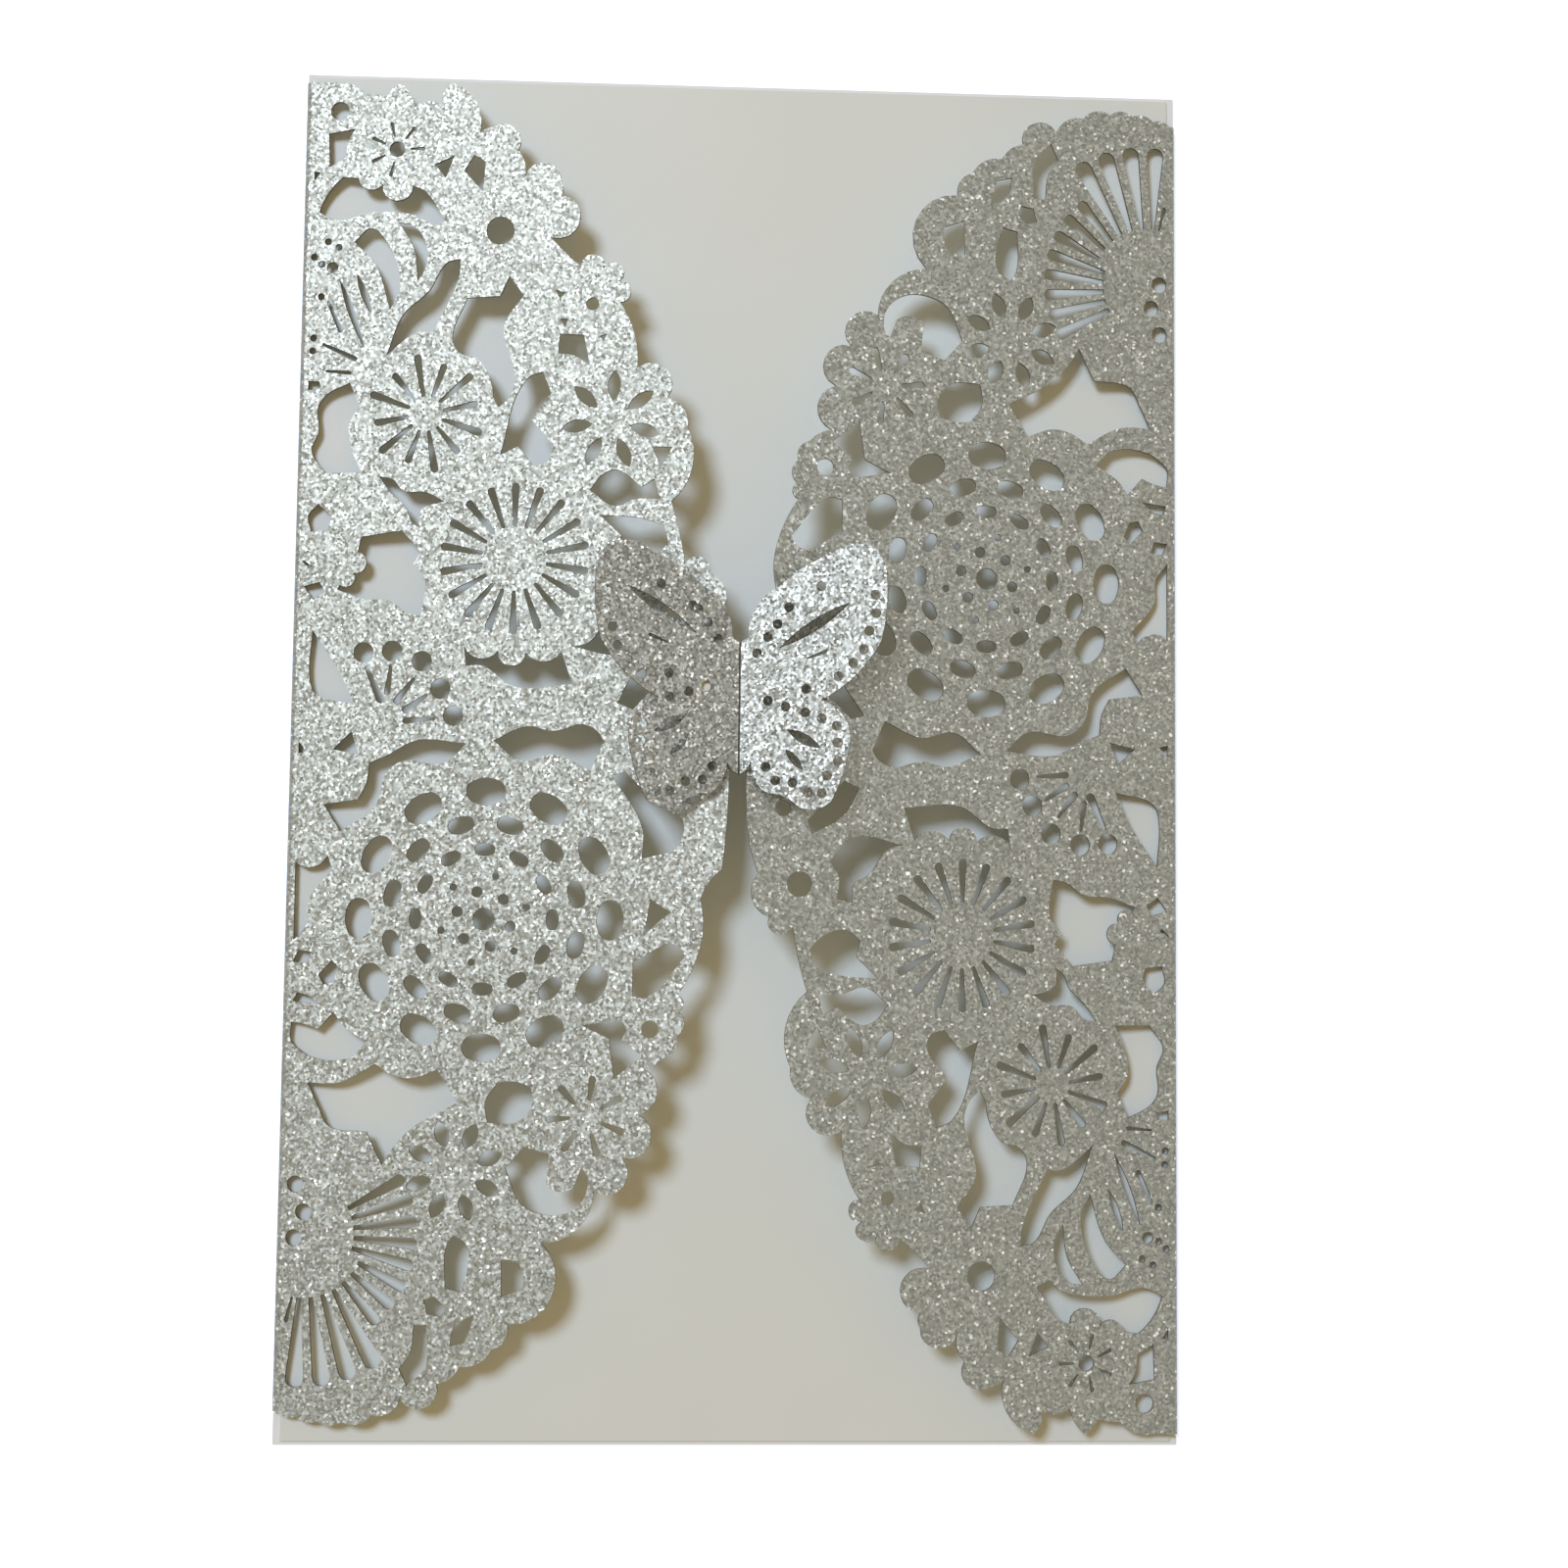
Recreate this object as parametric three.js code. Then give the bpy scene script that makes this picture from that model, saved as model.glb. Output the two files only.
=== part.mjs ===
// Gatefold invitation card: a folded sheet of glitter card with two lace flaps, a plain
// card lying inside it and a folded butterfly stuck over the gate.
// Millimetres, +Z up, +Y towards the head of the card, standing height 0.

import * as THREE from 'three';
import { mergeVertices } from 'three/addons/utils/BufferGeometryUtils.js';

const radians = THREE.MathUtils.degToRad;

// sizes of the closed card
const cardWidth = 120;
const cardHeight = 185;
const cardThick = 0.4;
const foldRadius = 0.75; // fold line to the middle of the card's thickness
const foldHeadStep = 1.6; // from the card's head to the end of its folds
const foldFootStep = 4.5;
const flapTilt = radians(8); // how far the flaps stand open at rest
const gateGap = 2; // between the flaps, where they come closest

// the plain card inside
const insertThick = 0.3;
const insertSideMargin = 1;
const insertEndMargin = 0.5;

// the butterfly and the pad that holds it on the left flap
const wingReach = 19.6; // crease to the tip of a wing
const wingTilt = radians(14);
const creaseLift = 0.3; // crease above the rim of the flaps
const butterflyRise = 2.3; // its waist above the middle of the card
const padLength = 9;
const padWidth = 3.4;
const padRise = 3; // middle of the pad above the waist
const padInset = 1.6; // from the flap's rim to the pad
const padClearance = 0.12;

const foldSteps = 6;
const arcStep = radians(50);

const point = (u, v) => new THREE.Vector2(u, v);

// A closed outline from [u, v, bulge] rows: the edge after a row is straight, or an arc
// that stands out by its bulge to the right of the way round.
function outlineOf(rows) {
  const points = [];
  rows.forEach(([u, v, bulge = 0], index) => {
    const start = point(u, v);
    const end = point(...rows[(index + 1) % rows.length]);
    points.push(start);
    if (bulge === 0) return;
    const chord = start.distanceTo(end);
    const sweep = 4 * Math.atan((2 * Math.abs(bulge)) / chord);
    const steps = Math.max(2, Math.round(sweep / arcStep));
    const radius = chord / 2 / Math.sin(sweep / 2);
    const along = end.clone().sub(start).normalize();
    const side = point(along.y, -along.x).multiplyScalar(Math.sign(bulge));
    for (let step = 1; step < steps; step += 1) {
      const angle = sweep * (step / steps - 0.5);
      const outward = radius * (Math.cos(angle) - Math.cos(sweep / 2));
      points.push(start.clone().lerp(end, 0.5)
        .addScaledVector(along, radius * Math.sin(angle))
        .addScaledVector(side, outward));
    }
  });
  return points;
}

function roundHole(u, v, radius, sides = 8) {
  return Array.from({ length: sides }, (unused, index) => {
    const angle = ((index + 0.5) / sides) * 2 * Math.PI;
    return point(u + radius * Math.cos(angle), v + radius * Math.sin(angle));
  });
}

// a slot with pointed ends, widest at its middle
function slot([u0, v0], [u1, v1], width) {
  const start = point(u0, v0);
  const end = point(u1, v1);
  const along = end.clone().sub(start);
  const side = point(-along.y, along.x).setLength(width / 2);
  const middle = start.clone().lerp(end, 0.5);
  return [start, middle.clone().sub(side), end, middle.clone().add(side)];
}

// a leaf-shaped slot with six corners
function leaf([u0, v0], [u1, v1], width, fullness = 0.3) {
  const start = point(u0, v0);
  const end = point(u1, v1);
  const along = end.clone().sub(start);
  const side = point(-along.y, along.x).setLength(width / 2);
  const near = start.clone().lerp(end, fullness);
  const far = start.clone().lerp(end, 1 - fullness);
  return [start, near.clone().sub(side), far.clone().sub(side), end,
    far.clone().add(side), near.clone().add(side)];
}

function polar([u, v], radius, degrees) {
  return [u + radius * Math.cos(radians(degrees)), v + radius * Math.sin(radians(degrees))];
}

// one hole on each spoke of a flower
function spokes(centre, count, first, inner, outer, width, shape = slot) {
  return Array.from({ length: count }, (unused, index) => {
    const angle = first + (index * 360) / count;
    return shape(polar(centre, inner, angle), polar(centre, outer, angle), width);
  });
}

// a ring of small round holes
function seeds(centre, count, first, radius, size, sides) {
  return Array.from({ length: count }, (unused, index) => (
    roundHole(...polar(centre, radius, first + (index * 360) / count), size, sides)));
}

// holes that stand across the spokes, as the panes of a rose window
function panes(centre, count, first, radius, length, width) {
  return Array.from({ length: count }, (unused, index) => {
    const angle = first + (index * 360) / count;
    const [u, v] = polar(centre, radius, angle);
    const [du, dv] = polar([0, 0], length / 2, angle + 90);
    return leaf([u - du, v - dv], [u + du, v + dv], width, 0.24);
  });
}

// the rays of a fan, narrow at the hub and wide at the rim
function fanRays(centre, count, first, last, innerAt, outerAt, widthAt) {
  return Array.from({ length: count }, (unused, index) => {
    const share = index / (count - 1);
    const angle = first + (last - first) * share;
    const inner = innerAt(share);
    const outer = outerAt(share);
    const half = (width, radius) => THREE.MathUtils.radToDeg(width / radius / 2);
    const rim = widthAt(share);
    return [
      polar(centre, inner, angle - half(0.6, inner)),
      polar(centre, outer - rim / 2, angle - half(rim, outer)),
      polar(centre, outer, angle),
      polar(centre, outer - rim / 2, angle + half(rim, outer)),
      polar(centre, inner, angle + half(0.6, inner)),
    ].map((corner) => point(...corner));
  });
}

// The flap's edge in millimetres of the drawing, from the foot of the fold round to its
// head: u from the card's side, v along the card. The ends on the fold are given u = 0.
const flapEdge = [
  [0, -88, 0.4], [3.3, -88.5, 0.5], [6.2, -89, 0.6], [9.4, -89, 0.8], [13.4, -88.1, 0.9],
  [17.2, -85.8, 2.3], [22, -83.8, 0.5], [25, -81.5, 0.8], [29.2, -79.2, 0.8], [31.2, -76, 4],
  [35.5, -65.4, 2], [42.3, -58.6, 2.6], [45.9, -54.1, 2.8], [48, -48.6, 2.2],
  [48.6, -42.6, 0.3], [51.6, -40.9, 0.7], [53, -38.3, 0.8], [53.2, -35.2, 0.7],
  [53, -33, 0.5], [56.2, -25, 0.2], [55.8, -20.5, -0.4], [58.6, -16.5, 0.2],
  [59.4, -4, 0.2], [59.5, 9, 0.4], [57.9, 17, 1.6], [56.4, 22.7, 1.7],
  [53.2, 23.8, 0.2], [51.2, 32.4, 1.8], [53.3, 42.3, 1], [50.5, 46.4, 2.6],
  [46.4, 50.5, 0.8], [43.9, 59.5, 1.6], [43.6, 62.3, 2.1], [41.4, 63.6, 2.1],
  [38.6, 64.4], [37.3, 65.5], [34.2, 68.6, 0.3], [37, 68.9, 2], [35.6, 74.3, 0.3],
  [35.6, 76.2, 2.4], [30.6, 76.8, 0.5], [29.6, 80.7, 1.9], [26.2, 84, 0.2],
  [24.3, 83.2, 1.6], [20.3, 90.3, 0.5], [19, 87.2, 0.7], [15.2, 87, 0.3],
  [13.2, 90.4, 0.3], [11.3, 88.5, 0.2], [8.3, 89, 0.7], [3.5, 90.7], [0, 90.9],
];

// openings with edges of their own, each a row of corners
const freeHoles = [
  // head of the flap
  [[3.5, 78.9], [5.8, 80.2], [6, 82.3], [7, 84.2], [3.3, 83.6]],
  [[1.4, 76.9], [2.3, 78.2], [1.4, 78.4]],
  [[18.1, 79], [19.7, 77], [20.9, 80.2]],
  [[22.2, 78], [24.9, 75], [25.2, 79.2], [23.6, 80.2]],
  [[2.2, 72.6], [4.8, 71.5], [10, 72.5], [16.2, 71.7], [18.2, 70.3], [19.8, 71.1],
    [16.9, 75.3], [15.2, 76.1, -2.2], [11, 76.4, -1.2], [7.6, 77.3], [5.5, 77.5, 0.5]],
  [[7.2, 68.4], [10.2, 65.2], [12.4, 58.9], [13.7, 61.5, 0.9], [10.8, 69.6, 0.4], [8.8, 70.1]],
  [[13.3, 71], [15.5, 67.3], [16.1, 62.8, 1.9], [15, 70.8]],
  [[12, 52.6], [16.4, 55.8], [18.4, 55.7], [21.9, 63.6], [22, 65.8], [20.2, 65.4],
    [17.8, 61.6], [14.2, 58.2]],
  [[21.1, 54.8], [22.2, 52.8], [24.5, 52.2, -0.6], [26.8, 46.8], [27.6, 45.3],
    [29, 46.6], [29.8, 49], [28.2, 56.5], [30.8, 60.6], [28.8, 63.4], [27.5, 60.6],
    [23, 60.4]],
  // beside the fold
  [[1.3, 48], [3.1, 48.2], [2.9, 49.2], [1.3, 49.3]],
  [[2, 39.6], [4, 36.6], [8.9, 36.6], [7.2, 41], [7.2, 43.6], [8.6, 45.6], [7.1, 49],
    [3.8, 47.3], [2.8, 45.8], [2.9, 42.3]],
  [[2.2, 28.6], [4.6, 28.9], [4.9, 30.6], [3.2, 32.4], [1.8, 30.9]],
  [[1.4, 21.2], [2.8, 19.3], [4.4, 20.5], [3.6, 21.8]],
  [[2.6, 8.5], [3.3, 6.8], [8.8, 5.2], [6.8, 9.4], [2.8, 15.3]],
  [[1.3, 0.2], [1.3, -1.4], [2.5, -1.1]],
  [[6, -0.8], [9.6, -1.6], [8.5, 1.6]],
  [[1.3, -15.9], [2.6, -16.6], [4.6, -16.2], [5.7, -15], [6.4, -16.9], [3.2, -21],
    [3, -24.2], [1.3, -26.4]].reverse(),
  [[1.3, -29.2], [3.2, -29.4], [3.8, -27.8], [2, -27.6]],
  [[4.8, -30.8], [5.5, -32.2], [6.8, -31.9], [7.6, -29.9], [6.6, -28.9]],
  [[1.4, -34.4], [4.9, -34.8], [3.7, -33.7], [2, -33.2]],
  [[1.3, -39.6], [3.2, -41.3, 0.7], [9.8, -41.6], [11.6, -39.6], [8.4, -37.6],
    [7, -35.7], [4.9, -38.1, 0.2], [1.3, -37.1]],
  // between the round flowers of the upper half
  [[27.9, 38.8], [30.4, 40], [32.6, 37.3], [34.4, 37.9], [35, 39.6], [32.2, 43.6],
    [34.8, 47.2], [33.6, 50.2], [31.4, 49.2]],
  [[35.6, 52.6], [38, 52.2], [40, 50.8], [39.1, 55.1], [35.8, 55.3]],
  [[35.1, 61.3], [35.7, 60], [36.5, 60.9]],
  [[35.8, 57.4], [36.5, 56.1], [36.9, 57.3]],
  [[41.2, 54.9], [41.8, 54.2], [42.3, 55.2]],
  [[48.5, 39.8], [49.8, 36.9], [51.3, 39.7]],
  [[40.2, 34], [43.5, 31.8], [46.5, 32.7], [49.7, 32.7], [49, 35.5], [47.2, 34.4],
    [43.9, 36.7], [42, 36.2]],
  [[41.6, 30.6], [44.6, 27.8], [44, 25.6], [46.2, 24.2], [49, 25], [51, 26.8],
    [50.3, 29.2], [47, 30.2]],
  [[38.3, 12.9], [45.2, 12], [48.4, 15.2], [47.1, 17.2], [47.4, 20.2], [45.2, 20.7],
    [45, 18.2], [43, 16.9], [40.4, 13.5]],
  [[11, 36.8], [15, 33.2], [15.3, 31.6], [17.9, 30], [17.6, 33.2], [20.2, 33],
    [18.9, 34.5], [14.9, 35], [13, 37.2]],
  [[6, 20.7], [10, 19.4], [13.2, 19.2], [15.6, 17.6], [17.6, 17.1], [18, 22.2],
    [16.4, 24.2], [17.4, 25.8], [14.8, 28.7], [9.2, 27.9], [8.8, 26.3], [10, 24.3],
    [8.6, 21.4]],
  // the band across the middle
  [[23.9, 10.4], [26, 10.4], [30.5, 7.6], [38.3, 7.9], [36.8, 12.3], [33.5, 11],
    [32, 12.2], [30.3, 10.2], [28.2, 12.4], [26, 11.4], [23.5, 13.4]],
  [[4.9, -8.2], [7.3, -11.8], [12, -8.4], [13.4, -4], [15.5, -2.4], [21.3, -2.6],
    [24.2, 0], [17.5, 0.4], [13.2, -1.7], [11, -2.6], [10.7, -5.2], [9.6, -7.5]],
  [[27.8, 0.4], [31.5, -2.3], [36, -1.5], [41, -3.6], [42.7, 0.3, 0.7], [39.2, 2.6],
    [36, 1.7], [32.3, 2.3]],
  [[44.4, 5.4], [46.5, 4.5], [51.4, 9.9], [50.9, 11.8], [46.3, 8.9]],
  [[43.8, -4.2], [48, -11.2], [48, -15.2], [52, -14.3, 0.7], [53.4, -10], [49.5, -7.4],
    [45.6, -3.7]],
  // round the rose window, and below it
  [[48.4, -25.4], [50, -23.8], [52, -22.2], [49.2, -20.5]],
  [[47, -33.2], [48.8, -33.4], [53.9, -28, 0.7], [51.3, -26.3], [47, -28.8]],
  [[40.4, -37.1], [44, -38.8], [44.7, -44], [48.4, -41], [45.7, -38.9], [46.4, -37.6],
    [45.6, -36.2]],
  [[27.7, -47.2], [28, -50], [32, -49.8], [34, -47.3], [33.8, -45.3, 0.5], [29.2, -44.8]],
  [[3.7, -45.1], [5.3, -48.4], [6.6, -50.7], [11.8, -51.4], [14, -55.8], [15.2, -53.8],
    [18, -50.8], [24, -47.4], [21.2, -43.1], [17.8, -44.3], [15.2, -43.9],
    [12.8, -42.5], [8, -45]],
  [[30.5, -55.8], [32.6, -60.3], [35, -61.6], [38.5, -61.6], [41, -59.6], [41.4, -56.6],
    [40.6, -55.6], [39.6, -58.2, -0.7], [36, -57.9], [36.3, -53.9], [33, -53]],
  [[22.8, -71.5], [22.9, -66], [23.8, -64.6], [25.6, -65.8], [25.8, -69], [24.9, -72]],
  [[30.5, -68], [30.6, -72.3], [32.6, -71.5, 0.4], [32, -68]],
  [[23.8, -78.8], [25.5, -78.4], [26.6, -74.9], [24.3, -76.8]],
  [[16.9, -82], [18, -84.2], [20.4, -81.7], [20.5, -76.3], [18.8, -76.3], [18.3, -80]],
  [[20, -73], [20.5, -74.9], [22.3, -75.2], [23, -74], [21.5, -72.6]],
];

const roseCentre = [27, -23.3];
const fanHub = [3.6, -64.8];

const flowerHoles = [
  // head: a small flower, a plain flower with a round eye, and seeds beside the fold
  roundHole(4.8, 86.7, 1.3),
  roundHole(12.9, 81.2, 1.1),
  ...spokes([12.9, 81.2], 7, 0, 1.9, 3.9, 0.55),
  roundHole(27.4, 69.6, 1.95),
  ...[[3.6, 68.5], [5.1, 67.7], [1.7, 66.4], [2.8, 65.4], [2.8, 60.9],
    [1.9, 55.2], [1.8, 53.4]].map(([u, v]) => roundHole(u, v, 0.5, 4)),
  roundHole(4.3, 64.9, 0.8, 6),
  leaf([5.3, 63.3], [9, 53.6], 1),
  leaf([7.7, 64], [9.8, 58.4], 1),
  slot([3.8, 60.1], [5.8, 55.9], 0.8),
  slot([3.3, 54.3], [8, 52.1], 0.8),
  slot([3.8, 50.6], [7.3, 50.3], 0.6),
  slot([1.3, 24.6], [2.4, 23.7], 0.5),
  // the round flowers of the upper half
  ...spokes([17.7, 44.6], 6, 10, 2.6, 7.2, 1),
  ...spokes([17.7, 44.6], 6, 40, 2.6, 8.2, 1.1),
  ...spokes([43, 43.4], 7, 86, 2.6, 6.9, 1.8, leaf),
  ...spokes([30.2, 24.8], 18, 90, 4.6, 10.2, 1.1),
  roundHole(40.2, 59.3, 0.9, 6),
  roundHole(52.4, 18.3, 1.7),
  roundHole(54.7, 8.3, 1.1),
  roundHole(53.7, -5.6, 1, 6),
  // five beads over a small fan
  ...[[9.9, 12.2], [13.8, 12.4], [17.9, 11], [20.5, 7.3], [22.3, 3.7]]
    .map(([u, v]) => roundHole(u, v, 1.4)),
  slot([10.4, 10.1], [12.6, 5.4], 1.2),
  slot([13.7, 10.4], [13.2, 6.4], 0.9),
  slot([16.8, 8.6], [14.3, 5.3], 1),
  slot([18.6, 6.4], [15.4, 4.2], 1),
  slot([19.7, 3.3], [15.4, 3], 0.9),
  // the rose window
  roundHole(...roseCentre, 1.5, 6),
  ...seeds(roseCentre, 6, 45, 3.7, 0.75, 6),
  ...seeds(roseCentre, 6, 75, 5.9, 0.5, 4),
  ...panes(roseCentre, 12, 0, 9.2, 2.8, 1.5),
  ...panes(roseCentre, 12, 15, 12.8, 3.6, 2),
  ...panes(roseCentre, 12, 0, 16.9, 4.8, 3.2),
  // foot: a small ring, two petal flowers and the big fan
  roundHole(49.4, -37.5, 1.15, 6),
  ...spokes([41.2, -49], 7, 30, 2.4, 5.4, 1),
  ...spokes([23.7, -56.3], 8, 20, 3.2, 6.8, 2, leaf),
  roundHole(2.4, -58.4, 1.1),
  roundHole(fanHub[0], -62, 1.1),
  roundHole(2.4, -65.4, 1.1),
  ...fanRays(fanHub, 12, -92, 29,
    (share) => (share < 0.6 ? 8.4 : 6.9),
    (share) => (share < 0.35 ? 20 : 15.5),
    (share) => (share < 0.35 ? 2.6 : 1.7)),
  slot([2.4, -73.2], [1.6, -76.4], 0.6),
];

const holes = [...freeHoles.map(outlineOf), ...flowerHoles];

// Corners of every triangle, three after three.
class SheetBuilder {
  constructor() {
    this.corners = [];
  }

  quad(a, b, c, d) {
    this.corners.push(a, b, c, a, c, d);
  }

  // A flat piece of sheet: two faces and the cut edges between them. An edge for which
  // isFold holds is left open, for the fold that is joined there.
  panel(outline, cuts, upper, lower, isFold) {
    const rings = [outline, ...cuts].map((ring, index) => (
      THREE.ShapeUtils.isClockWise(ring) === (index > 0) ? ring : [...ring].reverse()));
    const all = rings.flat();
    THREE.ShapeUtils.triangulateShape(rings[0], rings.slice(1)).forEach(([a, b, c]) => {
      this.corners.push(upper(all[a]), upper(all[b]), upper(all[c]));
      this.corners.push(lower(all[a]), lower(all[c]), lower(all[b]));
    });
    rings.forEach((ring) => ring.forEach((start, index) => {
      const end = ring[(index + 1) % ring.length];
      if (!isFold(start, end)) this.quad(lower(start), lower(end), upper(end), upper(start));
    }));
  }

  geometry() {
    const geometry = new THREE.BufferGeometry();
    const numbers = this.corners.flatMap((corner) => corner.toArray());
    geometry.setAttribute('position', new THREE.Float32BufferAttribute(numbers, 3));
    return mergeVertices(geometry, 1e-4);
  }
}

const solids = {};

// the folded sheet
const halfWidth = cardWidth / 2;
const halfHeight = cardHeight / 2;
const foldOuter = foldRadius + cardThick / 2;
const foldInner = foldRadius - cardThick / 2;
const foldCentreX = halfWidth - foldOuter;
const foldTurn = Math.PI - flapTilt;
const headEnd = halfHeight - foldHeadStep;
const footEnd = foldFootStep - halfHeight;

// the drawing's scale on a card of this size
const reachOf = (rows) => Math.max(...outlineOf(rows).map(({ x }) => x));
const drawnFoot = flapEdge[0][1];
const drawnHead = flapEdge.at(-1)[1];
const drawnReach = reachOf(flapEdge);
const flapReach = (halfWidth - gateGap / 2) / Math.cos(flapTilt);
const acrossScale = flapReach / drawnReach;
const alongScale = (headEnd - footEnd) / (drawnHead - drawnFoot);

// the fold seen from the foot, for the flap on the left; 0 is at the back panel
const foldPoint = (radius, share, y) => {
  const angle = -Math.PI / 2 - foldTurn * share;
  return new THREE.Vector3(-foldCentreX + radius * Math.cos(angle), y,
    foldOuter + radius * Math.sin(angle));
};
const foldEnd = foldPoint(foldRadius, 1, 0);
const flapStart = (foldEnd.x + halfWidth) / Math.cos(flapTilt);
const flapPoint = (offset) => ({ x: u, y: v }) => {
  const along = u * acrossScale - flapStart;
  return new THREE.Vector3(
    foldEnd.x + along * Math.cos(flapTilt) - offset * Math.sin(flapTilt),
    footEnd + (v - drawnFoot) * alongScale,
    foldEnd.z + along * Math.sin(flapTilt) + offset * Math.cos(flapTilt),
  );
};

function foldedSheet() {
  const flap = new SheetBuilder();
  const startAcross = flapStart / acrossScale;
  const edge = outlineOf(flapEdge.map(([u, ...rest]) => [Math.max(u, startAcross), ...rest]));
  flap.panel(edge, holes, flapPoint(cardThick / 2), flapPoint(-cardThick / 2),
    (start, end) => start.x === startAcross && end.x === startAcross);
  for (let step = 0; step < foldSteps; step += 1) {
    const [from, to] = [step / foldSteps, (step + 1) / foldSteps];
    const ring = (share, y) => [foldPoint(foldOuter, share, y), foldPoint(foldInner, share, y)];
    const [outerFoot, innerFoot] = ring(from, footEnd);
    const [outerHead, innerHead] = ring(from, headEnd);
    const [outerFootNext, innerFootNext] = ring(to, footEnd);
    const [outerHeadNext, innerHeadNext] = ring(to, headEnd);
    flap.quad(outerFoot, outerFootNext, outerHeadNext, outerHead);
    flap.quad(innerFoot, innerHead, innerHeadNext, innerFootNext);
    flap.quad(outerFoot, innerFoot, innerFootNext, outerFootNext);
    flap.quad(outerHead, outerHeadNext, innerHeadNext, innerHead);
  }

  const sheet = new SheetBuilder();
  sheet.corners = flap.corners.concat(
    flap.corners.map(({ x, y, z }) => new THREE.Vector3(-x, -y, z)));
  const relief = foldOuter / 2; // the corner steps in to the fold over this height
  const side = [
    [halfWidth, -halfHeight], [halfWidth, -headEnd - relief], [foldCentreX, -headEnd],
    [foldCentreX, -footEnd], [halfWidth, -footEnd + relief], [halfWidth, halfHeight],
  ];
  const back = [...side, ...side.map(([x, y]) => [-x, -y])].map(([x, y]) => point(x, y));
  const at = (z) => ({ x, y }) => new THREE.Vector3(x, y, z);
  sheet.panel(back, [], at(cardThick), at(0), (start, end) => (
    Math.abs(start.x) === foldCentreX && start.x === end.x));
  return sheet.geometry();
}
solids.wrapper = foldedSheet();

// the plain card, lying on the back panel
const insertWidth = cardWidth - 2 * insertSideMargin;
const insertHeight = cardHeight - 2 * insertEndMargin;
solids.insert_card = new THREE.BoxGeometry(insertWidth, insertHeight, insertThick)
  .translate(0, 0, cardThick + insertThick / 2);

// the butterfly: one wing's edge from the tail round to the head
const wingEdge = [
  [0, -6.4], [0.9, -5.9], [1.7, -4.8, 0.3], [3.1, -8.3, 0.2], [5.4, -9, -0.2],
  [8.2, -10.7, 0.6], [12.4, -10, 0.4], [14.9, -2, 1.2], [10.9, 3.3, 0.9],
  [18.9, 11, 0.3], [19.6, 19, 0.5], [17.8, 23.3, 0.9], [12, 22.4, 0.5], [5.2, 18.3, 1.2],
  [1.2, 11.8], [0, 10.8],
];
const wingHoles = [
  leaf([6.6, 10.7], [14.5, 16], 1.2),
  slot([9.3, 9], [12.3, 9.8], 0.6),
  leaf([7, -0.8], [10.7, -2.8], 1),
  slot([6.7, -3.6], [8.5, -5.8], 0.8),
  ...[[2.4, 9.6], [3.8, 11.7], [5.1, 13.8], [6.6, 15.6], [10.9, 18.3], [18.3, 17],
    [18.3, 14.6], [17.4, 12.3], [16.8, 9.9], [15.4, 8.1], [13.5, 6.4], [9, 4.8], [3.9, 3.3],
    [6.3, 2.5], [8.9, 1.9], [11.1, 1.1], [13.2, -0.1], [13.4, -2.3], [13.4, -4.7],
    [11.9, -6.6], [11.3, -9], [9.4, -8.9], [7.3, -7.4], [5, -7.2], [3.6, -5.2]]
    .map(([u, v]) => roundHole(u, v, 0.45, 5)),
];

const wingScale = wingReach / reachOf(wingEdge);
const rim = flapPoint(cardThick / 2)(point(drawnReach, 0));
const creaseFoot = rim.z + creaseLift;

function butterflySheet() {
  const sheet = new SheetBuilder();
  // the faces of both wings meet over the crease
  const place = (side, lift) => ({ x: u, y: v }) => {
    const across = u * wingScale;
    const x = u === 0 ? 0 : across * Math.cos(wingTilt) - lift * Math.sin(wingTilt);
    const z = u === 0 ? lift / Math.cos(wingTilt)
      : across * Math.sin(wingTilt) + lift * Math.cos(wingTilt);
    return new THREE.Vector3(side * x, butterflyRise + v * wingScale, creaseFoot + z);
  };
  [1, -1].forEach((side) => {
    const wing = new SheetBuilder();
    wing.panel(outlineOf(wingEdge), wingHoles, place(side, cardThick), place(side, 0),
      (start, end) => start.x === 0 && end.x === 0);
    // the mirrored wing's triangles turn the other way round
    for (let index = 0; index < wing.corners.length; index += 3) {
      const [a, b, c] = wing.corners.slice(index, index + 3);
      sheet.corners.push(...(side > 0 ? [a, b, c] : [a, c, b]));
    }
  });
  return sheet.geometry();
}
solids.butterfly = butterflySheet();

// the pad between the left flap and the butterfly's left wing
function stickyPad() {
  const outerX = rim.x - padInset - padWidth;
  const innerX = rim.x - padInset;
  const flapTop = (x) => rim.z + (x - rim.x) * Math.tan(flapTilt);
  const wingFoot = (x) => creaseFoot - x * Math.tan(wingTilt);
  const profile = new THREE.Shape([
    point(outerX, flapTop(outerX) + padClearance), point(innerX, flapTop(innerX) + padClearance),
    point(innerX, wingFoot(innerX) - padClearance), point(outerX, wingFoot(outerX) - padClearance),
  ]);
  return new THREE.ExtrudeGeometry(profile, { depth: padLength, bevelEnabled: false })
    .rotateX(Math.PI / 2).translate(0, butterflyRise + padRise + padLength / 2, 0);
}
solids.adhesive_pad = stickyPad();

const materials = {
  wrapper: { color: '#c2c2c0', roughness: 0.45, metalness: 0.5 },
  insert_card: { color: '#e6e6e0', roughness: 0.5, metalness: 0 },
  butterfly: { color: '#c4c4c3', roughness: 0.45, metalness: 0.5 },
  adhesive_pad: { color: '#f2f1ec', roughness: 0.9, metalness: 0 },
};

const group = new THREE.Group();
Object.entries(solids).forEach(([name, geometry]) => {
  const mesh = new THREE.Mesh(geometry, new THREE.MeshStandardMaterial(materials[name]));
  mesh.name = name;
  group.add(mesh);
});

export default group;
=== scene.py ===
import math

import bmesh
import bpy
from mathutils import Matrix, Vector


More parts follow.
